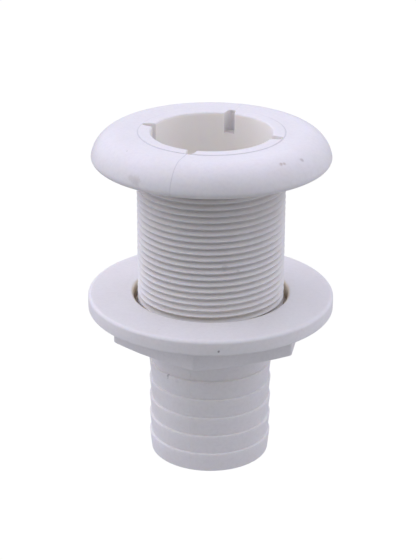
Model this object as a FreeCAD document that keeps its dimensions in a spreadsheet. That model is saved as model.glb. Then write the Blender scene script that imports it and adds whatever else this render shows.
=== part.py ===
import FreeCAD, Part
import math
import os
import Sketcher

# Through-hull fitting: a one-piece moulded body (mushroom head, threaded barrel,
# hose tail), a plain backing ring that slides on the barrel, and a hexagon nut
# that runs on the thread. Z is up along the axis, the end of the hose tail is
# at Z = 0 and every length is in mm.

os.makedirs("parts", exist_ok=True)
doc = FreeCAD.newDocument("thru_hull")

# ---------------------------------------------------------------- dimensions
SIZES = [
    ("total_height", 111.0), ("head_radius", 38.15), ("head_flat_radius", 28.5),
    ("head_max_height", 103.3), ("head_shoulder_height", 110.9),
    ("head_under_height", 101.9), ("head_under_radius", 37.2),
    ("head_low_round", 1.7), ("head_top_round", 9.2),
    ("collar_radius", 23.9), ("collar_height", 100.5),
    ("lip_radius", 23.2), ("lip_step", 0.15),
    ("mouth_radius", 19.3), ("mouth_depth", 14.0), ("mouth_round", 0.6),
    ("flow_radius", 16.75), ("flow_cone_depth", 18.4),
    ("barrel_end_height", 40.2), ("neck_radius", 20.4), ("neck_height", 39.3),
    ("thread_crest_radius", 23.8), ("thread_root_radius", 22.55),
    ("thread_pitch", 2.1167), ("thread_crest_width", 0.26), ("thread_base_width", 1.70),
    ("thread_sink", 0.35), ("thread_start_height", 43.12), ("thread_rise", 58.33),
    ("barb_crest_radius", 20.1), ("barb_root_radius", 19.42),
    ("barb_step", 6.53), ("barb_first_height", 39.3), ("barb_ledge", 0.22),
    ("tail_end_radius", 19.5), ("tail_chamfer", 0.35),
    ("slot_inner_width", 3.9), ("slot_outer_width", 2.3), ("slot_depth", 6.8),
    ("slot_outer_radius", 23.2), ("slot_inner_radius", 18.0),
    ("ring_bottom", 51.5), ("ring_thickness", 5.0), ("ring_radius", 39.96),
    ("ring_bore_radius", 25.2), ("ring_round", 1.0), ("ring_bore_round", 0.5),
    ("nut_gap", 0.05), ("nut_height", 9.25), ("nut_corner_radius", 33.4),
    ("nut_chamfer_radius", 29.2), ("nut_chamfer_rise", 0.92),
    ("nut_minor_radius", 22.8), ("nut_major_radius", 24.05),
    ("nut_groove_crest_width", 0.43), ("nut_groove_base_width", 1.877),
    ("nut_lead_radius", 24.4), ("nut_lead_depth", 0.9), ("nut_turn", 51.0),
]
sheet = doc.addObject("Spreadsheet::Sheet", "dims")
for i, (name, value) in enumerate(SIZES, start=1):
    sheet.set("A%d" % i, name)
    sheet.set("B%d" % i, repr(value))
    sheet.setAlias("B%d" % i, name)
doc.recompute()
D = dict(SIZES)


def S(name):
    return "dims." + name


def val(expr):
    """Number that a sheet formula stands for, to place sketch points near their end state."""
    text = expr
    for name in sorted(D, key=len, reverse=True):
        text = text.replace("dims." + name, "D['%s']" % name)
    total = 0.0
    for term in text.replace("-", "+-").split("+"):
        term = term.strip()
        if not term:
            continue
        sign = 1.0
        if term.startswith("-"):
            sign, term = -1.0, term[1:].strip()
        number = 1.0
        for j, factor in enumerate(term.replace("/", "*/").split("*")):
            factor = factor.strip()
            inverse = factor.startswith("/")
            factor = factor.lstrip("/").strip()
            v = D[factor[3:-2]] if factor.startswith("D['") else float(factor)
            number = number / v if inverse else number * v
        total += sign * number
    return total


def new_body(name):
    body = doc.addObject("PartDesign::Body", name)
    body.Label = name
    return body


def plane(body, role):
    for o in body.Origin.OriginFeatures:
        if o.Role == role:
            return o
    raise RuntimeError("no plane " + role)


def sketch_on(body, name, role, lift=None):
    sk = body.newObject("Sketcher::SketchObject", name)
    sk.AttachmentSupport = [(plane(body, role), "")]
    sk.MapMode = "FlatFace"
    if lift:
        sk.setExpression(".AttachmentOffset.Base.z", lift)
    return sk


def outline(sk, points, arcs=None):
    """Closed outline through points (formula, formula). Every corner is held by
    its two coordinates. arcs[i] = (radius formula, centre guess) makes segment i
    an arc of that radius."""
    arcs = arcs or {}
    n = len(points)
    xy = [(val(a), val(b)) for a, b in points]
    geo = []
    for i in range(n):
        a, b = xy[i], xy[(i + 1) % n]
        A, B = FreeCAD.Vector(a[0], a[1], 0), FreeCAD.Vector(b[0], b[1], 0)
        if i in arcs:
            cx, cy = arcs[i][1]
            r = val(arcs[i][0])
            a0 = math.atan2(a[1] - cy, a[0] - cx)
            a1 = math.atan2(b[1] - cy, b[0] - cx)
            while a1 < a0:
                a1 += 2 * math.pi
            if a1 - a0 > math.pi:      # clockwise arc: swap the ends
                a0, a1 = a1 - 2 * math.pi, a0
                flip = True
            else:
                flip = False
            circle = Part.Circle(FreeCAD.Vector(cx, cy, 0), FreeCAD.Vector(0, 0, 1), r)
            g = sk.addGeometry(Part.ArcOfCircle(circle, a0, a1), False)
            geo.append((g, 2, 1) if flip else (g, 1, 2))
        else:
            g = sk.addGeometry(Part.LineSegment(A, B), False)
            geo.append((g, 1, 2))
    for i in range(n):
        g, s0, s1 = geo[i]
        h, t0, t1 = geo[(i + 1) % n]
        sk.addConstraint(Sketcher.Constraint("Coincident", g, s1, h, t0))
    for i in range(n):
        g, s0, s1 = geo[i]
        for axis, k in (("DistanceX", 0), ("DistanceY", 1)):
            c = sk.addConstraint(Sketcher.Constraint(axis, -1, 1, g, s0, xy[i][k]))
            sk.setExpression("Constraints[%d]" % c, points[i][k])
    for i in arcs:
        c = sk.addConstraint(Sketcher.Constraint("Radius", geo[i][0], val(arcs[i][0])))
        sk.setExpression("Constraints[%d]" % c, arcs[i][0])
    return geo


def revolve(body, sk, name, cut=False):
    f = body.newObject("PartDesign::Groove" if cut else "PartDesign::Revolution", name)
    f.Profile = (sk, [""])
    f.ReferenceAxis = (sk, ["V_Axis"])
    f.Angle = 360.0
    sk.Visibility = False
    return f


def helix(body, sk, name, height_expr, cut):
    f = body.newObject("PartDesign::SubtractiveHelix" if cut else "PartDesign::AdditiveHelix", name)
    f.Profile = (sk, [""])
    f.ReferenceAxis = (sk, ["V_Axis"])
    f.Mode = 0
    f.setExpression("Pitch", S("thread_pitch"))
    f.setExpression("Height", height_expr)
    f.Angle = 0
    f.LeftHanded = False
    f.Reversed = False
    return f


def circle_edges(shape, radius, height, tol=0.02):
    found = []
    for i, e in enumerate(shape.Edges, start=1):
        c = e.Curve
        if isinstance(c, Part.Circle) and abs(c.Radius - radius) < tol and abs(c.Center.z - height) < tol:
            found.append("Edge%d" % i)
    return found


# ------------------------------------------------------------ one-piece body
hull = new_body("fitting_body")
prof = sketch_on(hull, "body_profile", "XZ_Plane")
H = S("total_height")
zb = [S("barb_first_height") + " - %d * " % k + S("barb_step") for k in range(7)]
pts = []
arcs = {}


def add(x, y):
    pts.append((x, y))
    return len(pts) - 1


add(S("flow_radius"), "0")
add(S("tail_end_radius") + " - " + S("tail_chamfer"), "0")
add(S("tail_end_radius"), S("tail_chamfer"))
# hose tail: five cones, each widest under its upper ledge
for k in range(5, 0, -1):
    add(S("barb_crest_radius"), zb[k] + " - " + S("barb_ledge"))
    add(S("barb_root_radius"), zb[k])
add(S("barb_crest_radius"), zb[0] + " - " + S("barb_ledge"))
add(S("neck_radius"), S("barrel_end_height"))
add(S("thread_root_radius"), S("barrel_end_height"))
add(S("thread_root_radius"), S("collar_height"))
add(S("collar_radius"), S("collar_height"))
add(S("collar_radius"), S("head_under_height"))
add(S("head_under_radius"), S("head_under_height"))
i = add(S("head_radius"), S("head_max_height"))
arcs[i - 1] = (S("head_low_round"), None)
i = add(S("head_flat_radius"), S("head_shoulder_height"))
arcs[i - 1] = (S("head_top_round"), None)
add(S("lip_radius"), H + " - " + S("lip_step"))
add(S("lip_radius"), H)
add(S("mouth_radius") + " + " + S("mouth_round"), H)
i = add(S("mouth_radius"), H + " - " + S("mouth_round"))
arcs[i - 1] = (S("mouth_round"), None)
add(S("mouth_radius"), H + " - " + S("mouth_depth"))
add(S("flow_radius"), H + " - " + S("flow_cone_depth"))


def centre(i, r, inside):
    """Centre of the arc of radius r through points i and i+1, on the side nearer 'inside'."""
    a = (val(pts[i][0]), val(pts[i][1]))
    b = (val(pts[i + 1][0]), val(pts[i + 1][1]))
    mx, my = (a[0] + b[0]) / 2, (a[1] + b[1]) / 2
    dx, dy = b[0] - a[0], b[1] - a[1]
    L = math.hypot(dx, dy)
    hgt = math.sqrt(max(r * r - L * L / 4, 0.0))
    c = [(mx - dy / L * hgt, my + dx / L * hgt), (mx + dy / L * hgt, my - dx / L * hgt)]
    return min(c, key=lambda q: math.hypot(q[0] - inside[0], q[1] - inside[1]))


for i in list(arcs):
    r = val(arcs[i][0])
    inside = (22.0, 108.0) if r < 1 else (30.0, 102.0)
    arcs[i] = (arcs[i][0], centre(i, r, inside))

outline(prof, pts, arcs)
revolve(hull, prof, "body_solid")
doc.recompute()

# external thread: right-handed ridge, trapezium section
tsk = sketch_on(hull, "thread_profile", "XZ_Plane")
zt = S("thread_start_height")
slope = "0.5774"
outline(tsk, [
    (S("thread_root_radius") + " - " + S("thread_sink"), zt + " - " + S("thread_base_width") + " / 2"),
    (S("thread_root_radius"), zt + " - " + S("thread_base_width") + " / 2"),
    (S("thread_crest_radius"), zt + " - " + S("thread_crest_width") + " / 2"),
    (S("thread_crest_radius"), zt + " + " + S("thread_crest_width") + " / 2"),
    (S("thread_root_radius"), zt + " + " + S("thread_base_width") + " / 2"),
    (S("thread_root_radius") + " - " + S("thread_sink"), zt + " + " + S("thread_base_width") + " / 2"),
])
th = helix(hull, tsk, "body_thread", S("thread_rise"), cut=False)
doc.recompute()

# four wrench slots in the mouth, open at the top
ssk = sketch_on(hull, "slot_plan", "XY_Plane", H)
outline(ssk, [
    (S("slot_inner_radius"), "-1 * " + S("slot_inner_width") + " / 2"),
    (S("slot_outer_radius"), "-1 * " + S("slot_outer_width") + " / 2"),
    (S("slot_outer_radius"), S("slot_outer_width") + " / 2"),
    (S("slot_inner_radius"), S("slot_inner_width") + " / 2"),
])
ssk.AttachmentOffset = FreeCAD.Placement(FreeCAD.Vector(0, 0, D["total_height"]), FreeCAD.Rotation(FreeCAD.Vector(0, 0, 1), -17.2 - 90.0))
ssk.setExpression(".AttachmentOffset.Base.z", H)
slot = hull.newObject("PartDesign::Pocket", "wrench_slot")
slot.Profile = (ssk, [""])
slot.setExpression("Length", S("slot_depth"))
doc.recompute()
pat = hull.newObject("PartDesign::PolarPattern", "wrench_slots")
pat.Originals = [slot]
pat.Axis = (ssk, ["N_Axis"])
pat.Angle = 360.0
pat.Occurrences = 4
hull.Tip = pat
doc.recompute()

# ------------------------------------------------------------ backing ring
ring = new_body("backing_ring")
rsk = sketch_on(ring, "ring_profile", "XZ_Plane")
rr, rb = S("ring_radius"), S("ring_bore_radius")
outline(rsk, [(rb, "0"), (rr, "0"), (rr, S("ring_thickness")), (rb, S("ring_thickness"))])
rev = revolve(ring, rsk, "ring_solid")
ring.setExpression(".Placement.Base.z", S("ring_bottom"))
doc.recompute()
names = circle_edges(rev.Shape, D["ring_radius"], 0.0) + circle_edges(rev.Shape, D["ring_radius"], D["ring_thickness"])
fil = ring.newObject("PartDesign::Fillet", "ring_rim_round")
fil.Base = (rev, names)
fil.setExpression("Radius", S("ring_round"))
ring.Tip = fil
doc.recompute()
names = circle_edges(fil.Shape, D["ring_bore_radius"], 0.0) + circle_edges(fil.Shape, D["ring_bore_radius"], D["ring_thickness"])
fil2 = ring.newObject("PartDesign::Fillet", "ring_bore_round_edge")
fil2.Base = (fil, names)
fil2.setExpression("Radius", S("ring_bore_round"))
ring.Tip = fil2
doc.recompute()

# ------------------------------------------------------------ hexagon nut
nut = new_body("hex_nut")
hsk = sketch_on(nut, "hexagon", "XY_Plane")
corners = []
for k in range(6):
    ang = math.radians(D["nut_turn"] - 90.0 + 60.0 * k)
    corners.append(("%.8f * " % math.cos(ang) + S("nut_corner_radius"), "%.8f * " % math.sin(ang) + S("nut_corner_radius")))
outline(hsk, corners)
pad = nut.newObject("PartDesign::Pad", "nut_block")
pad.Profile = (hsk, [""])
pad.setExpression("Length", S("nut_height"))
nut.setExpression(".Placement.Base.z", S("ring_bottom") + " - " + S("nut_gap") + " - " + S("nut_height"))
doc.recompute()
# the underside is coned off towards the corners
csk = sketch_on(nut, "nut_chamfer_profile", "XZ_Plane")
cr, co = S("nut_chamfer_radius"), S("nut_corner_radius") + " + 1"
outline(csk, [(cr, "-1"), (co, "-1"), (co, S("nut_chamfer_rise")), (cr, "0")])
revolve(nut, csk, "nut_chamfer", cut=True)
doc.recompute()
bsk = sketch_on(nut, "nut_bore_profile", "XZ_Plane")
nm, nl, nd, nh = S("nut_minor_radius"), S("nut_lead_radius"), S("nut_lead_depth"), S("nut_height")
outline(bsk, [("0", "-1"), (nl, "-1"), (nl, "0"), (nm, nd), (nm, nh + " - " + nd), (nl, nh), (nl, nh + " + 1"), ("0", nh + " + 1")])
bore = revolve(nut, bsk, "nut_bore", cut=True)
doc.recompute()
# internal thread in step with the barrel's: its section is a whole number of
# pitches from the barrel thread's start
base_z = D["ring_bottom"] - D["nut_gap"] - D["nut_height"]
turns = math.floor((base_z - 1.6 * D["thread_pitch"] - D["thread_start_height"]) / D["thread_pitch"])
nz = S("thread_start_height") + " + %d * " % turns + S("thread_pitch") + " - " + S("ring_bottom") + " + " + S("nut_gap") + " + " + S("nut_height")
nsk = sketch_on(nut, "nut_thread_profile", "XZ_Plane")
cw, bw = S("nut_groove_crest_width"), S("nut_groove_base_width")
outline(nsk, [
    (nm + " - 0.1", nz + " - " + bw + " / 2 - 0.0577"),
    (S("nut_major_radius"), nz + " - " + cw + " / 2"),
    (S("nut_major_radius"), nz + " + " + cw + " / 2"),
    (nm + " - 0.1", nz + " + " + bw + " / 2 + 0.0577"),
])
nth = helix(nut, nsk, "nut_thread", "%.6f * " % (math.ceil((D["nut_height"] / D["thread_pitch"]) + 3.2)) + S("thread_pitch"), cut=True)
nut.Tip = nth
doc.recompute()

# ------------------------------------------------------------ checks and export
bad = []
for o in doc.Objects:
    if "Invalid" in o.State or "Error" in o.State:
        bad.append(o.Name + " " + ",".join(o.State))
if bad:
    raise RuntimeError("objects not computed: " + "; ".join(bad))
for body in (hull, ring, nut):
    shape = body.Shape
    if shape.isNull() or not shape.isValid() or len(shape.Solids) != 1:
        raise RuntimeError("bad shape: %s null=%s solids=%d" % (body.Label, shape.isNull(), len(shape.Solids)))
    b = shape.BoundBox
    print(body.Label, "volume", round(shape.Volume, 1), "box", [round(v, 3) for v in (b.XMin, b.XMax, b.YMin, b.YMax, b.ZMin, b.ZMax)], "faces", len(shape.Faces))
    shape.exportStep("parts/%s.step" % body.Label)
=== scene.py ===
import math

import bpy
import bmesh
import numpy as np
from mathutils import Matrix, Vector


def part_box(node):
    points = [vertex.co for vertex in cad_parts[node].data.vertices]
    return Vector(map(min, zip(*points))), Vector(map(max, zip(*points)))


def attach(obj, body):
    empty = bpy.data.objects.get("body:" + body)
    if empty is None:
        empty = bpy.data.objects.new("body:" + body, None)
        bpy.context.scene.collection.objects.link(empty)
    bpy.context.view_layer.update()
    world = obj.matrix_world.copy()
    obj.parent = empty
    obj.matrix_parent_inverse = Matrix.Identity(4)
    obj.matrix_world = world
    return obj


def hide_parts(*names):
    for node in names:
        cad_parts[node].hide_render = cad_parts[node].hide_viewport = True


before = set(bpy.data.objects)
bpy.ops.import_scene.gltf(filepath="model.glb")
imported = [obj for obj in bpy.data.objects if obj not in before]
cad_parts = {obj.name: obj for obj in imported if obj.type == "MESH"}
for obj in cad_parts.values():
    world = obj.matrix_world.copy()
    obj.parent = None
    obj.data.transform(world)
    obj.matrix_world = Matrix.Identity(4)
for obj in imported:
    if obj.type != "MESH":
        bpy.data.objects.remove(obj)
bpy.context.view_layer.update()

MM = 0.001

# ------------------------------------------------------------------ sizes, mm
body_lo, body_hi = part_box("fitting_body")
ring_lo, ring_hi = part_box("backing_ring")
nut_lo, nut_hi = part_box("hex_nut")
TOP = body_hi[2] / MM                      # 111, the mouth's land
HEAD_R = 38.15
PITCH = 2.1167
RIDGE_Z = 43.12                            # a ridge's middle at azimuth 0
ROOT_R, CREST_R = 22.55, 23.80
BARREL_LO, BARREL_HI = 40.2, TOP - 10.5
FLOW_R, MOUTH_R, LIP_R = 16.75, 19.3, 23.2
SLOT_FLOOR = TOP - 6.8
SLOT_AZ = [-107.2 + 90.0 * k for k in range(4)]      # degrees from +X
SEAM_AZ = [-109.0, 71.0]
RING_Z0, RING_Z1 = ring_lo[2] / MM, ring_hi[2] / MM
NUT_Z0, NUT_Z1 = nut_lo[2] / MM, nut_hi[2] / MM


# ------------------------------------------------------------------ mesh helpers
class Shell:
    """Points and faces of one closed piece, in mm."""

    def __init__(self):
        self.v, self.f = [], []

    def point(self, x, y, z):
        self.v.append((x, y, z))
        return len(self.v) - 1

    def ring(self, angles, r, z):
        """r and z may be numbers or one value per column."""
        n = len(angles)
        r = np.broadcast_to(np.asarray(r, float), (n,))
        z = np.broadcast_to(np.asarray(z, float), (n,))
        return [self.point(r[j] * math.cos(angles[j]), r[j] * math.sin(angles[j]), z[j]) for j in range(n)]

    def face(self, ids):
        out = []
        for i in ids:
            if i not in out:
                out.append(i)
        if len(out) >= 3:
            self.f.append(out)

    def band(self, a, b, skip=()):
        n = len(a)
        for j in range(n):
            if j in skip:
                continue
            k = (j + 1) % n
            self.face((a[j], a[k], b[k], b[j]))

    def build(self, name, smooth_angle=38.0, bevel=None):
        me = bpy.data.meshes.new(name)
        pts = (np.array(self.v, float) * MM).tolist()
        me.from_pydata(pts, [], self.f)
        bm = bmesh.new()
        bm.from_mesh(me)
        bm.verts.ensure_lookup_table()
        if bevel:
            pairs, width, segs = bevel
            wanted = {frozenset(p) for p in pairs}
            edges = [e for e in bm.edges if frozenset((e.verts[0].index, e.verts[1].index)) in wanted]
            bmesh.ops.bevel(bm, geom=edges, offset=width * MM, offset_type="OFFSET", segments=segs, profile=0.5,
                            affect="EDGES", clamp_overlap=True)
        bmesh.ops.remove_doubles(bm, verts=bm.verts[:], dist=2e-7)
        loose = [v for v in bm.verts if not v.link_faces]
        bmesh.ops.delete(bm, geom=loose, context="VERTS")
        bmesh.ops.recalc_face_normals(bm, faces=bm.faces[:])
        z0, z1 = min(p[2] for p in self.v) * MM, max(p[2] for p in self.v) * MM
        for v in bm.verts:
            v.co.z = min(max(v.co.z, z0), z1)
        bm.to_mesh(me)
        bm.free()
        me.shade_smooth()
        me.set_sharp_from_angle(angle=math.radians(smooth_angle))
        me.update()
        ob = bpy.data.objects.new(name, me)
        bpy.context.scene.collection.objects.link(ob)
        return ob


def arc(cx, cy, r, a0, a1, n):
    """Points of an arc in the (radius, height) half plane, angles in degrees."""
    return [(cx + r * math.cos(math.radians(a0 + (a1 - a0) * i / n)), cy + r * math.sin(math.radians(a0 + (a1 - a0) * i / n)))
            for i in range(n + 1)]


def arc_through(p, q, r, inside, n):
    mx, my = (p[0] + q[0]) / 2, (p[1] + q[1]) / 2
    dx, dy = q[0] - p[0], q[1] - p[1]
    L = math.hypot(dx, dy)
    h = math.sqrt(max(r * r - L * L / 4, 0))
    cs = [(mx - dy / L * h, my + dx / L * h), (mx + dy / L * h, my - dx / L * h)]
    c = min(cs, key=lambda u: math.hypot(u[0] - inside[0], u[1] - inside[1]))
    a0, a1 = math.atan2(p[1] - c[1], p[0] - c[0]), math.atan2(q[1] - c[1], q[0] - c[0])
    if a1 - a0 > math.pi:
        a1 -= 2 * math.pi
    if a1 - a0 < -math.pi:
        a1 += 2 * math.pi
    return [(c[0] + r * math.cos(a0 + (a1 - a0) * i / n), c[1] + r * math.sin(a0 + (a1 - a0) * i / n)) for i in range(n + 1)]


def helical(sh, angles, bottom, top, z_lo, z_hi, knots, limit, lim_is_min):
    """A screw surface between two rings. Rows follow the helix, so crests and
    roots are unbroken lines; knots are (height from the ridge's middle, radius)."""
    n, m = len(angles), len(knots)
    k_lo = int(math.floor((z_lo - RIDGE_Z - 2 * PITCH) / PITCH))
    k_hi = int(math.ceil((z_hi - RIDGE_Z + PITCH) / PITCH))
    rows = (k_hi - k_lo + 1) * m
    ids = {}

    def vid(j, i):
        if j == n:
            j, i = 0, i + m
        if i < 0:
            return bottom[j]
        if i >= rows:
            return top[j]
        key = (j, i)
        if key in ids:
            return ids[key]
        k, q = divmod(i, m)
        s, r = knots[q]
        z = RIDGE_Z + PITCH * (angles[j] / (2 * math.pi) + k + k_lo) + s
        if z <= z_lo + 0.03:
            out = bottom[j]
        elif z >= z_hi - 0.03:
            out = top[j]
        else:
            lim = limit(z)
            rr = min(r, lim) if lim_is_min else max(r, lim)
            out = sh.point(rr * math.cos(angles[j]), rr * math.sin(angles[j]), z)
        ids[key] = out
        return out

    for j in range(n):
        for i in range(-m, rows):
            sh.face((vid(j, i), vid(j + 1, i), vid(j + 1, i + 1), vid(j, i + 1)))


# ------------------------------------------------------------------ columns
SLOT_HALF = 4.4                                       # degrees a slot spans each side in the plain columns


def wrap(a):
    return (a + 180.0) % 360.0 - 180.0


cols = set()
step = 1.5
for k in range(int(360 / step)):
    a = wrap(k * step)
    if any(abs(wrap(a - s)) < SLOT_HALF + 1.9 for s in SLOT_AZ):
        continue
    if any(abs(wrap(a - s)) < 1.0 for s in SEAM_AZ):
        continue
    cols.add(round(a % 360.0, 4))
for s in SLOT_AZ:
    for o in (-SLOT_HALF - 1.9, -SLOT_HALF, -2.9, -1.45, 0.0, 1.45, 2.9, SLOT_HALF, SLOT_HALF + 1.9):
        a = wrap(s + o)
        if any(abs(wrap(a - q)) < 0.7 for q in SEAM_AZ):
            continue
        cols.add(round(a % 360.0, 4))
for q in SEAM_AZ:
    for o in (-0.32, 0.0, 0.32):
        cols.add(round((q + o) % 360.0, 4))
cols = sorted(cols)
ANG = [math.radians(a) for a in cols]
NC = len(cols)


def slot_half_width(r):
    w = 1.95 + (1.15 - 1.95) * (r - 18.0) / (LIP_R - 18.0)
    end = max(0.0, (r - 21.9) / (LIP_R - 21.9))           # the outer end is rounded in plan
    return w * math.sqrt(1.0 - 0.80 * min(1.0, end) ** 2)


def slot_angles(r):
    """Column angles with the slots' edges at their true width at radius r."""
    half = math.degrees(math.asin(slot_half_width(r) / r))
    out = []
    for a in cols:
        b = a
        for s in SLOT_AZ:
            o = wrap(a - s)
            if abs(o) <= SLOT_HALF:
                b = s + o * half / SLOT_HALF
            elif abs(o) < 14.0:
                far = (abs(o) - SLOT_HALF) / (14.0 - SLOT_HALF)
                b = s + math.copysign(half + (14.0 - half) * far, o)
        out.append(math.radians(b))
    return out


slot_cols = []                                        # (first, last) column of each slot
for s in SLOT_AZ:
    inside = [j for j, a in enumerate(cols) if abs(wrap(a - s)) <= SLOT_HALF + 1e-3]
    inside.sort(key=lambda j: wrap(cols[j] - s))
    slot_cols.append(inside)
skip_cols = set()
for ins in slot_cols:
    skip_cols.update(ins[:-1])
seam_mid = [min(range(NC), key=lambda j: abs(wrap(cols[j] - q))) for q in SEAM_AZ]


def with_seam(r, lift=0.055):
    """Radius per column, with the mould's fine parting line standing up."""
    out = np.full(NC, float(r))
    for j in seam_mid:
        out[j] += lift
    return out


# ------------------------------------------------------------------ body
sh = Shell()
rings = []


def R(r, z, slot=False, seam=0.0, seam_z=0.0):
    ang = slot_angles(r) if slot else ANG
    rr, zz = np.full(NC, float(r)), np.full(NC, float(z))
    for j in seam_mid:
        rr[j] += seam
        zz[j] += seam_z
    ids = sh.ring(ang, rr, zz)
    rings.append(ids)
    return ids


# inside, from the tail's end up to the mouth
first = R(FLOW_R + 0.35, 0.0)
R(FLOW_R + 0.08, 0.12)
R(FLOW_R, 0.45)
for z in (8, 20, 32, 44, 56, 68, 80, 90, 91.6):
    R(FLOW_R, z)
for r, z in ((16.8, 92.4), (17.05, 93.1), (18.95, 96.1), (19.22, 96.75), (19.3, 97.4)):
    R(r, z)
for z in (99.5, 101.5, 103.1):
    R(MOUTH_R, z)
i_floor = len(rings)
R(MOUTH_R, SLOT_FLOOR, slot=True)
for z in (106.0, 108.0, 109.4):
    R(MOUTH_R, z, slot=True)
for r, z in arc(MOUTH_R + 0.6, TOP - 0.6, 0.6, 180, 90, 5):
    R(r, z, slot=True)
i_flat = len(rings)
for r in (21.4, 22.0, 22.4, 22.7, LIP_R - 0.25):
    R(r, TOP, slot=True)
R(LIP_R - 0.06, TOP - 0.035, slot=True)
i_step = len(rings)
R(LIP_R, TOP - 0.15, slot=True)
i_seam = len(rings)
R(LIP_R + 0.18, TOP - 0.16)
head_top = arc_through((28.5, TOP - 0.1), (HEAD_R, TOP - 7.7), 9.2, (30, TOP - 9), 18)
head_low = arc_through((HEAD_R, TOP - 7.7), (37.2, TOP - 9.1), 1.7, (30, TOP - 9), 6)
for r, z in ((24.6, TOP - 0.15), (26.5, TOP - 0.12)):
    R(r, z, seam_z=0.05)
for i, (r, z) in enumerate(head_top[:-1]):
    a = math.pi / 2 * i / len(head_top)
    R(r, z, seam=0.05 * math.sin(a) if i else 0.0, seam_z=0.05 * math.cos(a) if i else 0.05)
for r, z in head_low[:-1]:
    R(min(r, HEAD_R - 0.0), z)
R(37.0, TOP - 9.1)
R(30.0, TOP - 9.1)
R(24.3, TOP - 9.1)
R(23.95, TOP - 9.35)
R(23.9, TOP - 9.7)
R(23.9, TOP - 10.4)
R(23.7, TOP - 10.5)
upper = R(ROOT_R, BARREL_HI)
i_upper = len(rings) - 1
lower = R(ROOT_R, BARREL_LO)
R(21.0, BARREL_LO)
R(20.4, BARREL_LO - 0.25)
R(20.15, BARREL_LO - 0.95)
step_z = 6.53
led = [39.3 - step_z * k for k in range(7)]
# barbs: each cone is widest just under its upper ledge
crest, root = 20.1, 19.42
R(20.1, led[0] - 0.3, seam=0.04)
for k in range(1, 6):
    zl = led[k]
    za = led[k - 1] - 0.3
    for u in (0.35, 0.7, 0.93):
        R(crest + (root + 0.03 - crest) * u, za + (zl + 0.06 - za) * u, seam=0.045)
    R(root, zl + 0.05, seam=0.045)
    R(root + 0.06, zl - 0.02)
    R(crest - 0.16, zl - 0.13)
    R(crest - 0.05, zl - 0.2, seam=0.03)
    R(crest, zl - 0.34, seam=0.045)
for u in (0.35, 0.7):
    R(crest + (19.5 - crest) * u, led[5] - 0.34 + (0.5 - led[5] + 0.34) * u, seam=0.04)
R(19.5, 0.5, seam=0.02)
R(19.42, 0.18)
R(19.2, 0.0)

for i in range(len(rings) - 1):
    if i == i_upper:
        continue
    sk = skip_cols if i_floor <= i < i_step else ()
    sh.band(rings[i], rings[i + 1], sk)
sh.band(rings[-1], first)

# thread: rounded 60 degree ridges, right-handed
knots = [(-PITCH / 2, ROOT_R), (-0.81, ROOT_R + 0.05), (-0.60, 22.98), (-0.31, 23.46), (-0.10, 23.78),
         (0.10, 23.78), (0.31, 23.46), (0.60, 22.98), (0.81, ROOT_R + 0.05)]


def barrel_limit(z):
    return min(ROOT_R + (z - BARREL_LO) * 1.1, ROOT_R + (BARREL_HI - z) * 2.0, CREST_R)


helical(sh, ANG, lower, upper, BARREL_LO, BARREL_HI, knots, barrel_limit, True)

# slots: straight-sided pockets below the outline left open in the mouth's land
bevel_pairs = []
for ins in slot_cols:
    a, b = ins[0], ins[-1]

    def drop(i):
        x, y, z = sh.v[i]
        r = math.hypot(x, y)
        k = (r - 0.35 * max(0.0, (r - 21.4) / (LIP_R - 21.4))) / r
        return sh.point(x * k, y * k, SLOT_FLOOR)

    foot = {a: [rings[i_floor][a]], b: [rings[i_floor][b]]}
    for c in (a, b):
        wall = [rings[i][c] for i in range(i_floor, i_flat + 1)]
        low = drop(rings[i_flat][c])
        foot[c].append(low)
        sh.face([low] + wall[::-1])
        bevel_pairs += list(zip(wall[:-1], wall[1:]))
        for i in range(i_flat, i_step):
            nxt = drop(rings[i + 1][c])
            sh.face((low, nxt, rings[i + 1][c], rings[i][c]))
            bevel_pairs.append((rings[i][c], rings[i + 1][c]))
            low = nxt
            foot[c].append(low)
    end = [foot[a][-1]] + [drop(rings[i_step][j]) for j in ins[1:-1]] + [foot[b][-1]]
    for q in range(len(ins) - 1):
        j, k = ins[q], ins[q + 1]
        sh.face((end[q], end[q + 1], rings[i_step][k], rings[i_step][j]))
        bevel_pairs.append((rings[i_step][j], rings[i_step][k]))
    mouth_side = [rings[i_floor][j] for j in ins]
    sh.face(foot[a][1:] + end[1:-1] + foot[b][:0:-1] + mouth_side[::-1])
    bevel_pairs += list(zip(mouth_side[:-1], mouth_side[1:]))

body = sh.build("fitting_body_moulding", bevel=(bevel_pairs, 0.16, 3))

# ------------------------------------------------------------------ backing ring
sh = Shell()
RA = [2 * math.pi * k / 240 for k in range(240)]
prof = []
ro, ri = 39.94, 25.2
prof += arc(ri + 0.5, RING_Z0 + 0.5, 0.5, 270, 180, 4)
prof += arc(ri + 0.95, RING_Z1 - 0.95, 0.95, 180, 90, 6)
prof += [(26.6, RING_Z1), (29.0, RING_Z1 - 0.03), (33.0, RING_Z1 - 0.05), (36.6, RING_Z1 - 0.03), (38.2, RING_Z1)]
prof += arc(ro - 1.1, RING_Z1 - 1.1, 1.1, 90, 0, 7)
prof += [(ro, RING_Z0 + 2.2)]
prof += arc(ro - 0.7, RING_Z0 + 0.7, 0.7, 0, -90, 6)
prof += [(36.0, RING_Z0), (30.0, RING_Z0)]
rr = [sh.ring(RA, r, z) for r, z in prof]
for i in range(len(rr)):
    sh.band(rr[i], rr[(i + 1) % len(rr)])
ring = sh.build("backing_ring_moulding")

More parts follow.
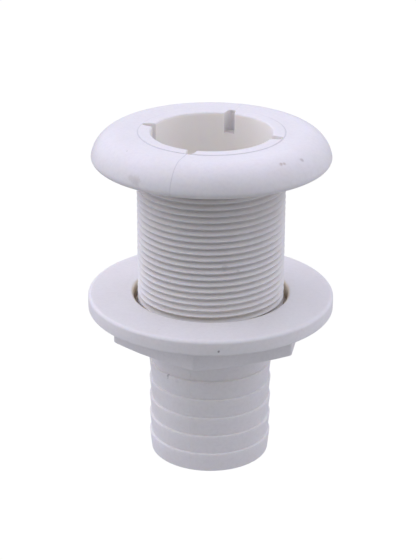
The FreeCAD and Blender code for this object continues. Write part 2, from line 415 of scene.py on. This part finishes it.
# ------------------------------------------------------------------ hexagon nut
sh = Shell()
AP = 33.4 * math.cos(math.pi / 6)
CORNER0 = 51.0 - 90.0
CR = 0.9                                              # corner rounding
hc = set(round((CORNER0 + 60 * k + o) % 360.0, 4) for k in range(6) for o in (-2.0, -1.2, -0.6, 0.0, 0.6, 1.2, 2.0))
for k in range(180):
    a = k * 2.0
    if all(abs(wrap(a - (CORNER0 + 60 * q))) > 2.6 for q in range(6)):
        hc.add(round(a % 360.0, 4))
hc = sorted(hc)
HA = [math.radians(a) for a in hc]


def hex_r(a_deg, inset=0.0):
    o = wrap(a_deg - CORNER0) % 60.0
    o = min(o, 60.0 - o)                              # degrees from the nearest corner
    ap = AP - inset
    flat = ap / math.cos(math.radians(30.0 - o))
    # rounded corner: circle of radius CR tangent to both sides, centred on the corner line
    c = (ap - CR) / math.cos(math.radians(30.0))
    t = math.radians(o)
    d = c * math.cos(t)
    disc = CR * CR - (c * math.sin(t)) ** 2
    if disc <= 0:
        return flat
    arc_r = d + math.sqrt(disc)
    tangent = math.degrees(math.atan2(CR * math.sin(math.radians(30.0)), c + CR * math.cos(math.radians(30.0))))
    return arc_r if o < tangent else flat


def hring(inset, z):
    return sh.ring(HA, [hex_r(a, inset) for a in hc], z)


lead = 24.4
bot_in = sh.ring(HA, lead, NUT_Z0)
top_in = sh.ring(HA, lead, NUT_Z1)
NUT_CONE_R, NUT_CONE = 29.2, 0.92 / 5.2               # the underside is coned off towards the corners


def low_ring(inset, lift):
    r = np.array([hex_r(a, inset) for a in hc])
    return sh.ring(HA, r, NUT_Z0 + np.maximum(0.0, r - NUT_CONE_R) * NUT_CONE + lift)


b1 = sh.ring(HA, 27.0, NUT_Z0)
b2a = low_ring(1.2, 0.0)
b2 = low_ring(0.55, 0.0)
b2b = low_ring(0.27, 0.07)
b3 = low_ring(0.08, 0.25)
b4 = low_ring(0.0, 0.55)
b4b = hring(0.0, NUT_Z0 + 4.0)
b5 = hring(0.0, NUT_Z1 - 0.45)
b6 = hring(0.12, NUT_Z1 - 0.12)
b7 = hring(0.45, NUT_Z1)
b8 = hring(2.0, NUT_Z1)
chain = [bot_in, b1, b2a, b2, b2b, b3, b4, b4b, b5, b6, b7, b8, top_in]
for p, q in zip(chain[:-1], chain[1:]):
    sh.band(p, q)
nk = [(-PITCH / 2, 22.8), (-0.94, 22.81), (-0.86, 22.93), (-0.55, 23.47), (-0.28, 23.94), (-0.16, 24.03), (0.0, 24.05), (0.16, 24.03),
      (0.28, 23.94), (0.55, 23.47), (0.86, 22.93), (0.94, 22.81)]


def nut_limit(z):
    return max(lead - (z - NUT_Z0) / 0.9 * 1.6, lead - (NUT_Z1 - z) / 0.9 * 1.6)


helical(sh, HA, bot_in, top_in, NUT_Z0, NUT_Z1, nk, nut_limit, False)
nut = sh.build("hex_nut_moulding", smooth_angle=30.0)

# ------------------------------------------------------------------ materials


def white_plastic(name, tint, rough=0.36, painted_bore_glow=None, marks=(), seed=0.0, moulded=False,
                  translucent=(0.12, 0.0012)):
    """Satin moulded white plastic: faint flow mottling, fine bloom, tiny marks; where asked, a painted glow round
    the bore and painted shade in the thread's roots and round the mouth.
    """
    mat = bpy.data.materials.new(name)
    mat.use_nodes = True
    nt = mat.node_tree
    nd, ln = nt.nodes, nt.links
    bsdf = next(n for n in nd if n.type == "BSDF_PRINCIPLED")
    bsdf.inputs["IOR"].default_value = 1.49
    bsdf.inputs["Specular IOR Level"].default_value = 0.45
    bsdf.inputs["Subsurface Weight"].default_value = translucent[0]
    bsdf.inputs["Subsurface Radius"].default_value = (1.0, 0.78, 0.52)
    bsdf.inputs["Subsurface Scale"].default_value = translucent[1]
    tc = nd.new("ShaderNodeTexCoord")

    def noise(scale, detail, rough_, offset):
        mp = nd.new("ShaderNodeMapping")
        mp.inputs["Location"].default_value = (offset, offset * 0.7, offset * 1.3)
        ln.new(tc.outputs["Object"], mp.inputs["Vector"])
        n = nd.new("ShaderNodeTexNoise")
        n.inputs["Scale"].default_value = scale
        n.inputs["Detail"].default_value = detail
        n.inputs["Roughness"].default_value = rough_
        ln.new(mp.outputs["Vector"], n.inputs["Vector"])
        return n

    def ramp(src, stops):
        r = nd.new("ShaderNodeValToRGB")
        e = r.color_ramp.elements
        while len(e) < len(stops):
            e.new(0.5)
        for el, (p, c) in zip(e, stops):
            el.position = p
            el.color = (c[0], c[1], c[2], 1.0)
        ln.new(src, r.inputs["Fac"])
        return r

    def math_node(op, a, b=None):
        m = nd.new("ShaderNodeMath")
        m.operation = op
        for i, x in enumerate((a, b)):
            if x is None:
                continue
            if isinstance(x, (int, float)):
                m.inputs[i].default_value = x
            else:
                ln.new(x, m.inputs[i])
        return m.outputs[0]

    def mix(fac, a, b, mode="MIX"):
        m = nd.new("ShaderNodeMix")
        m.data_type = "RGBA"
        m.blend_type = mode
        m.clamp_factor = True
        if isinstance(fac, (int, float)):
            m.inputs[0].default_value = fac
        else:
            ln.new(fac, m.inputs[0])
        for i, x in ((6, a), (7, b)):
            if isinstance(x, tuple):
                m.inputs[i].default_value = (x[0], x[1], x[2], 1.0)
            else:
                ln.new(x, m.inputs[i])
        return m.outputs[2]

    flow = noise(55.0, 3.0, 0.55, seed)
    t = tint
    base = ramp(flow.outputs["Fac"], [(0.30, (t[0] * 0.975, t[1] * 0.975, t[2] * 0.965)), (0.55, t), (0.75, tuple(min(1, c * 1.012) for c in t))]).outputs["Color"]
    fine = noise(900.0, 2.0, 0.5, seed + 3.1)
    grain = ramp(fine.outputs["Fac"], [(0.2, (0.955, 0.955, 0.955)), (0.6, (1, 1, 1))]).outputs["Color"]
    base = mix(1.0, base, grain, "MULTIPLY")
    # tiny dark inclusions, very sparse
    vor = nd.new("ShaderNodeTexVoronoi")
    vor.feature = "F1"
    vor.inputs["Scale"].default_value = 85.0
    vor.inputs["Randomness"].default_value = 1.0
    ln.new(tc.outputs["Object"], vor.inputs["Vector"])
    dot = math_node("LESS_THAN", vor.outputs["Distance"], 0.020)
    pick = nd.new("ShaderNodeSeparateColor")
    ln.new(vor.outputs["Color"], pick.inputs[0])
    rare = math_node("GREATER_THAN", pick.outputs[0], 0.80)
    speck = math_node("MULTIPLY", dot, rare)
    base = mix(math_node("MULTIPLY", speck, 0.35), base, (0.36, 0.31, 0.27))
    # painted glow: a bright tan painted round the bore, standing in for light coming through the thin plastic
    if painted_bore_glow:
        r_in, r_out, tan = painted_bore_glow
        sep = nd.new("ShaderNodeSeparateXYZ")
        ln.new(tc.outputs["Object"], sep.inputs[0])
        rad = math_node("SQRT", math_node("ADD", math_node("MULTIPLY", sep.outputs[0], sep.outputs[0]), math_node("MULTIPLY", sep.outputs[1], sep.outputs[1])))
        mr = nd.new("ShaderNodeMapRange")
        mr.interpolation_type = "SMOOTHSTEP"
        mr.inputs["From Min"].default_value = r_in
        mr.inputs["From Max"].default_value = r_out
        mr.inputs["To Min"].default_value = 1.0
        mr.inputs["To Max"].default_value = 0.0
        ln.new(rad, mr.inputs["Value"])
        base = mix(mr.outputs["Result"], base, tan)
    rub = noise(38.0, 4.0, 0.6, seed + 7.7)

    def fade(value, near, far, strength):
        """strength where value is under near, nothing past far."""
        f = nd.new("ShaderNodeMapRange")
        f.interpolation_type = "SMOOTHSTEP"
        f.inputs["From Min"].default_value = near
        f.inputs["From Max"].default_value = far
        f.inputs["To Min"].default_value = strength
        f.inputs["To Max"].default_value = 0.0
        ln.new(value, f.inputs["Value"])
        return f.outputs["Result"]

    if moulded:
        # a darker line along the parting line, painted shade on the step ring round the mouth, and a painted glow (a
        # brighter, warmer colour) inside the bore
        pos = nd.new("ShaderNodeSeparateXYZ")
        ln.new(tc.outputs["Object"], pos.inputs[0])
        px, py, pz = pos.outputs
        radius = math_node("SQRT", math_node("ADD", math_node("MULTIPLY", px, px), math_node("MULTIPLY", py, py)))
        # the parting line is drawn darker, strongest on the head and on the -Y side
        sa = math.radians(SEAM_AZ[0])
        off = math_node("ABSOLUTE", math_node("SUBTRACT", math_node("MULTIPLY", px, math.sin(sa)), math_node("MULTIPLY", py, math.cos(sa))))
        broken = ramp(rub.outputs["Fac"], [(0.35, (0.45, 0.45, 0.45)), (0.6, (1, 1, 1))]).outputs["Color"]
        outside = math_node("GREATER_THAN", radius, 0.01938)
        line = math_node("MULTIPLY", math_node("MULTIPLY", fade(off, 0.00007, 0.00024, SEAM_LINE_DARK), broken), outside)
        on_head = math_node("SUBTRACT", 0.9, fade(pz, (TOP - 8.6) * MM, (TOP - 3.5) * MM, 0.65))
        on_head = math_node("MULTIPLY", on_head, math_node("ADD", math_node("MULTIPLY", math_node("GREATER_THAN", pz, (TOP - 9.3) * MM), 0.75), 0.25))
        near_side = math_node("ADD", math_node("MULTIPLY", math_node("LESS_THAN", py, 0.0), 0.65), 0.35)
        line = math_node("MULTIPLY", math_node("MULTIPLY", line, on_head), near_side)
        base = mix(line, base, (0.34, 0.33, 0.33))
        # painted shade in the thread's roots, darkest at the root
        thread = math_node("MULTIPLY", math_node("GREATER_THAN", radius, 0.0222), math_node("LESS_THAN", pz, (TOP - 10.45) * MM))
        root_shade = math_node("MULTIPLY", fade(radius, 0.02268, 0.02338, ROOT_SHADE), thread)
        base = mix(root_shade, base, (0.44, 0.395, 0.34))
        # painted shade: a dark broken line along the step ring round the mouth
        ring_off = math_node("ABSOLUTE", math_node("SUBTRACT", radius, (LIP_R + 0.12) * MM))
        high = math_node("GREATER_THAN", pz, (TOP - 1.0) * MM)
        line = math_node("MULTIPLY", math_node("MULTIPLY", fade(ring_off, 0.00008, 0.00034, LIP_STEP_SHADE), broken), high)
        base = mix(line, base, (0.45, 0.44, 0.45))
        # painted glow: the bore's inside is painted brighter and warmer than the rest, standing in for light bounced
        # inside it
        base = mix(fade(radius, 0.0193, 0.01936, 1.0), base, BORE_GLOW_COLOUR)
    for pos, size, strength, colour in marks:
        # a mark: a small soft-edged spot round a point, broken up by noise
        vm = nd.new("ShaderNodeVectorMath")
        vm.operation = "DISTANCE"
        ln.new(tc.outputs["Object"], vm.inputs[0])
        vm.inputs[1].default_value = tuple(c * MM for c in pos)
        wob = math_node("MULTIPLY", math_node("SUBTRACT", fine.outputs["Fac"], 0.5), size * MM * 0.9)
        d = math_node("ADD", vm.outputs["Value"], wob)
        mr = nd.new("ShaderNodeMapRange")
        mr.interpolation_type = "SMOOTHSTEP"
        mr.inputs["From Min"].default_value = size * MM * 0.25
        mr.inputs["From Max"].default_value = size * MM
        mr.inputs["To Min"].default_value = strength
        mr.inputs["To Max"].default_value = 0.0
        ln.new(d, mr.inputs["Value"])
        base = mix(mr.outputs["Result"], base, colour)
    ln.new(base, bsdf.inputs["Base Color"])
    rr_ = nd.new("ShaderNodeMapRange")
    rr_.inputs["From Min"].default_value = 0.3
    rr_.inputs["From Max"].default_value = 0.7
    rr_.inputs["To Min"].default_value = rough - 0.05
    rr_.inputs["To Max"].default_value = rough + 0.10
    ln.new(rub.outputs["Fac"], rr_.inputs["Value"])
    ln.new(rr_.outputs["Result"], bsdf.inputs["Roughness"])
    b1_ = nd.new("ShaderNodeBump")
    b1_.inputs["Strength"].default_value = 0.10
    b1_.inputs["Distance"].default_value = 0.00012
    ln.new(fine.outputs["Fac"], b1_.inputs["Height"])
    b2_ = nd.new("ShaderNodeBump")
    b2_.inputs["Strength"].default_value = 0.22
    b2_.inputs["Distance"].default_value = 0.0006
    wav = noise(110.0, 2.0, 0.5, seed + 11.0)
    ln.new(wav.outputs["Fac"], b2_.inputs["Height"])
    ln.new(b1_.outputs["Normal"], b2_.inputs["Normal"])
    ln.new(b2_.outputs["Normal"], bsdf.inputs["Normal"])
    return mat


WHITE = (0.845, 0.822, 0.795)
SEAM_LINE_DARK, LIP_STEP_SHADE, ROOT_SHADE = 0.42, 0.50, 0.25
BORE_GLOW_COLOUR = (0.955, 0.915, 0.85)
GREY, BROWN, DARK = (0.50, 0.48, 0.47), (0.42, 0.30, 0.22), (0.16, 0.15, 0.15)
BODY_MARKS = [
    ((21.0, -26.75, 109.47), 0.95, 0.60, BROWN), ((21.9, -26.25, 109.4), 0.75, 0.50, BROWN), ((27.5, -21.29, 108.95), 0.95, 0.50, (0.42, 0.36, 0.31)),
    ((18.0, -30.2, 108.2), 0.5, 0.16, GREY), ((-25.82, -18.59, 110.5), 0.45, 0.45, (0.36, 0.40, 0.30)), ((-22.67, -30.09, 105.03), 2.1, 0.30, (0.46, 0.41, 0.35)),
    ((-24.3, -28.6, 105.4), 1.3, 0.22, (0.46, 0.42, 0.37)), ((-13.5, -14.5, 32.3), 0.75, 0.62, DARK), ((-13.55, -14.45, 31.6), 0.45, 0.5, DARK),
    ((-10.7, -16.6, 31.6), 1.0, 0.15, GREY), ((20.5, -11.7, 77.81), 0.8, 0.6, (0.4, 0.38, 0.37)), ((4.2, -23.2, 73.89), 1.5, 0.42, (0.45, 0.43, 0.42)), ((8.5, -22.2, 72.2), 1.1, 0.3, GREY),
]
RING_MARKS = [((2.61, -39.9, 53.12), 0.55, 0.75, (0.14, 0.11, 0.09)), ((-16.0, -31.0, 56.5), 0.5, 0.15, GREY)]
body_mat = white_plastic("white_moulded_body", WHITE, 0.36, marks=BODY_MARKS, seed=1.0, moulded=True, translucent=(0.45, 0.0016))
ring_mat = white_plastic("white_moulded_ring", (0.880, 0.857, 0.828), 0.38, painted_bore_glow=(0.02535, 0.0261, (0.97, 0.86, 0.68)), marks=RING_MARKS, seed=4.0,
                         translucent=(0.25, 0.002))
nut_mat = white_plastic("white_moulded_nut", WHITE, 0.38, seed=8.0, painted_bore_glow=(0.0252, 0.0258, (0.96, 0.86, 0.70)), translucent=(0.15, 0.0015))
for ob, mat, node, bname, slot in ((body, body_mat, "fitting_body", "body", "body_white"), (ring, ring_mat, "backing_ring", "ring", "ring_white"),
                                   (nut, nut_mat, "hex_nut", "nut", "nut_white")):
    ob.data.materials.clear()
    ob.data.materials.append(mat)
    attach(ob, bname)
    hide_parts(node)

# ------------------------------------------------------------------ stage and light
fm = bpy.data.meshes.new("floor")
fm.from_pydata([(-4, -4, -0.0002), (4, -4, -0.0002), (4, 4, -0.0002), (-4, 4, -0.0002)], [], [(0, 1, 2, 3)])
floor = bpy.data.objects.new("floor", fm)
bpy.context.scene.collection.objects.link(floor)
FLOOR_SEEN = (1.02, 1.02, 1.02)
fmat = bpy.data.materials.new("pale_floor")
fmat.use_nodes = True
fn, fl = fmat.node_tree.nodes, fmat.node_tree.links
fn.clear()
fout = fn.new("ShaderNodeOutputMaterial")
f_seen, f_glow = fn.new("ShaderNodeEmission"), fn.new("ShaderNodeEmission")
f_seen.inputs["Color"].default_value = (*FLOOR_SEEN, 1)
# light the floor sends up, by place: near the object, then front, back, left, right
FLOOR_GLOW = [(0.454, 0.460, 0.542), (0.003, 0.025, 0.005), (0.269, 0.278, 0.287), (0.516, 0.510, 0.599), (0.675, 0.676, 0.805)]


def fmath(op, a, b=None):
    m = fn.new("ShaderNodeMath")
    m.operation = op
    for i, x in enumerate((a, b)):
        if x is None:
            continue
        if isinstance(x, (int, float)):
            m.inputs[i].default_value = x
        else:
            fl.new(x, m.inputs[i])
    return m.outputs[0]


f_tc, f_sep = fn.new("ShaderNodeTexCoord"), fn.new("ShaderNodeSeparateXYZ")
fl.new(f_tc.outputs["Object"], f_sep.inputs[0])
fx, fy = f_sep.outputs[0], f_sep.outputs[1]
f_rad = fmath("SQRT", fmath("ADD", fmath("MULTIPLY", fx, fx), fmath("MULTIPLY", fy, fy)))
f_near = fn.new("ShaderNodeMapRange")
f_near.interpolation_type = "SMOOTHSTEP"
for key, value in (("From Min", 0.08), ("From Max", 0.22), ("To Min", 1.0), ("To Max", 0.0)):
    f_near.inputs[key].default_value = value
fl.new(f_rad, f_near.inputs["Value"])
f_far = fmath("SUBTRACT", 1.0, f_near.outputs["Result"])
f_zones = [f_near.outputs["Result"]]
for axis, sign in ((fy, -1.0), (fy, 1.0), (fx, -1.0), (fx, 1.0)):
    c = fmath("MAXIMUM", fmath("MULTIPLY", fmath("DIVIDE", axis, f_rad), sign), 0.0)
    f_zones.append(fmath("MULTIPLY", fmath("MULTIPLY", c, c), f_far))
f_sum = fn.new("ShaderNodeCombineXYZ")
for i in range(3):
    channel = None
    for zone, colour in zip(f_zones, FLOOR_GLOW):
        term = fmath("MULTIPLY", zone, colour[i])
        channel = term if channel is None else fmath("ADD", channel, term)
    fl.new(channel, f_sum.inputs[i])
fl.new(f_sum.outputs[0], f_glow.inputs["Color"])
f_path, f_mix = fn.new("ShaderNodeLightPath"), fn.new("ShaderNodeMixShader")
fl.new(f_path.outputs["Is Camera Ray"], f_mix.inputs[0])
fl.new(f_glow.outputs[0], f_mix.inputs[1])
fl.new(f_seen.outputs[0], f_mix.inputs[2])
fl.new(f_mix.outputs[0], fout.inputs["Surface"])
fm.materials.append(fmat)

world = bpy.data.worlds.new("studio")
bpy.context.scene.world = world
world.use_nodes = True
wn, wl = world.node_tree.nodes, world.node_tree.links
wn.clear()
out = wn.new("ShaderNodeOutputWorld")
wtc = wn.new("ShaderNodeTexCoord")


def wmath(op, a, b=None):
    m = wn.new("ShaderNodeMath")
    m.operation = op
    for i, x in enumerate((a, b)):
        if x is None:
            continue
        if isinstance(x, (int, float)):
            m.inputs[i].default_value = x
        else:
            wl.new(x, m.inputs[i])
    return m.outputs[0]


# soft lobes of light round the object: azimuth from the front (-Y), + to the
# right, elevation, both in degrees, then red, green, blue strength
LOBES = [
    (90.0, 12.0, (0.637, 0.603, 0.709)),
    (135.0, 12.0, (0.295, 0.317, 0.366)),
    (180.0, 12.0, (0.153, 0.196, 0.200)),
    (-135.0, 12.0, (0.441, 0.458, 0.568)),
    (-90.0, 12.0, (0.562, 0.554, 0.688)),
    (60.0, 48.0, (0.418, 0.471, 0.507)),
    (120.0, 48.0, (0.532, 0.539, 0.659)),
    (180.0, 48.0, (0.046, 0.026, 0.039)),
    (-120.0, 48.0, (1.021, 0.992, 1.200)),
    (-60.0, 48.0, (0.703, 0.740, 0.780)),
    (0.0, 90.0, (0.047, 0.000, 0.231)),
]
AMBIENT = (0.307, 0.302, 0.344)


def wvec(op, a, b):
    m = wn.new("ShaderNodeVectorMath")
    m.operation = op
    for i, x in enumerate((a, b)):
        if isinstance(x, tuple):
            m.inputs[i].default_value = x
        else:
            wl.new(x, m.inputs[i])
    return m


total = None
for az, el, colour in LOBES:
    az, el = math.radians(az), math.radians(el)
    d = (math.sin(az) * math.cos(el), -math.cos(az) * math.cos(el), math.sin(el))
    dot = wvec("DOT_PRODUCT", wtc.outputs["Generated"], d).outputs["Value"]
    lobe = wmath("POWER", wmath("MAXIMUM", dot, 0.0), 6.0)
    comb = wn.new("ShaderNodeCombineXYZ")
    for i in range(3):
        wl.new(wmath("MULTIPLY", lobe, colour[i]), comb.inputs[i])
    total = comb.outputs[0] if total is None else wvec("ADD", total, comb.outputs[0]).outputs[0]
total = wvec("ADD", total, AMBIENT).outputs[0]
bg = wn.new("ShaderNodeBackground")
wl.new(total, bg.inputs["Color"])
bg.inputs["Strength"].default_value = 1.0
bgw = wn.new("ShaderNodeBackground")
bgw.inputs["Color"].default_value = (1, 1, 1, 1)
bgw.inputs["Strength"].default_value = 1.1
lp = wn.new("ShaderNodeLightPath")
mixw = wn.new("ShaderNodeMixShader")
wl.new(lp.outputs["Is Camera Ray"], mixw.inputs[0])
wl.new(bg.outputs[0], mixw.inputs[1])
wl.new(bgw.outputs[0], mixw.inputs[2])
wl.new(mixw.outputs[0], out.inputs[0])


def softbox(name, loc, target, size, power, colour):
    ld = bpy.data.lights.new(name, "AREA")
    ld.shape = "RECTANGLE"
    ld.size, ld.size_y = size
    ld.energy = power
    ld.color = colour
    lo = bpy.data.objects.new(name, ld)
    lo.location = loc
    d = Vector(target) - Vector(loc)
    lo.rotation_euler = d.to_track_quat("-Z", "Y").to_euler()
    bpy.context.scene.collection.objects.link(lo)
    return lo


softbox("top_softbox", (-0.15, 0.35, 1.0), (0, 0, 0.06), (0.9, 0.9), 0.25, (0.93, 0.93, 1.0))

# ------------------------------------------------------------------ camera
cam_d, cam_h, pitch, yaw, roll, f_px = 533.19, 175.859, math.radians(23.043), math.radians(-0.095), math.radians(0.343), 1779.57
F = Vector((math.sin(yaw) * math.cos(pitch), math.cos(yaw) * math.cos(pitch), -math.sin(pitch)))
R0 = F.cross(Vector((0, 0, 1))).normalized()
U0 = R0.cross(F)
Rv = R0 * math.cos(roll) + U0 * math.sin(roll)
Uv = -R0 * math.sin(roll) + U0 * math.cos(roll)
cd = bpy.data.cameras.new("camera")
cam = bpy.data.objects.new("camera", cd)
bpy.context.scene.collection.objects.link(cam)
cam.matrix_world = Matrix(((Rv.x, Uv.x, -F.x, 0.0), (Rv.y, Uv.y, -F.y, -cam_d * MM), (Rv.z, Uv.z, -F.z, (TOP + cam_h) * MM), (0, 0, 0, 1)))
cd.sensor_width = 36.0
cd.lens = f_px * 36.0 / 560.0
cd.clip_start = 0.01
cd.clip_end = 50.0
cd.dof.use_dof = False
bpy.context.scene.camera = cam

vs = bpy.context.scene.view_settings
vs.view_transform = "Standard"
vs.look = "None"
vs.exposure = 0.0
vs.gamma = 1.0
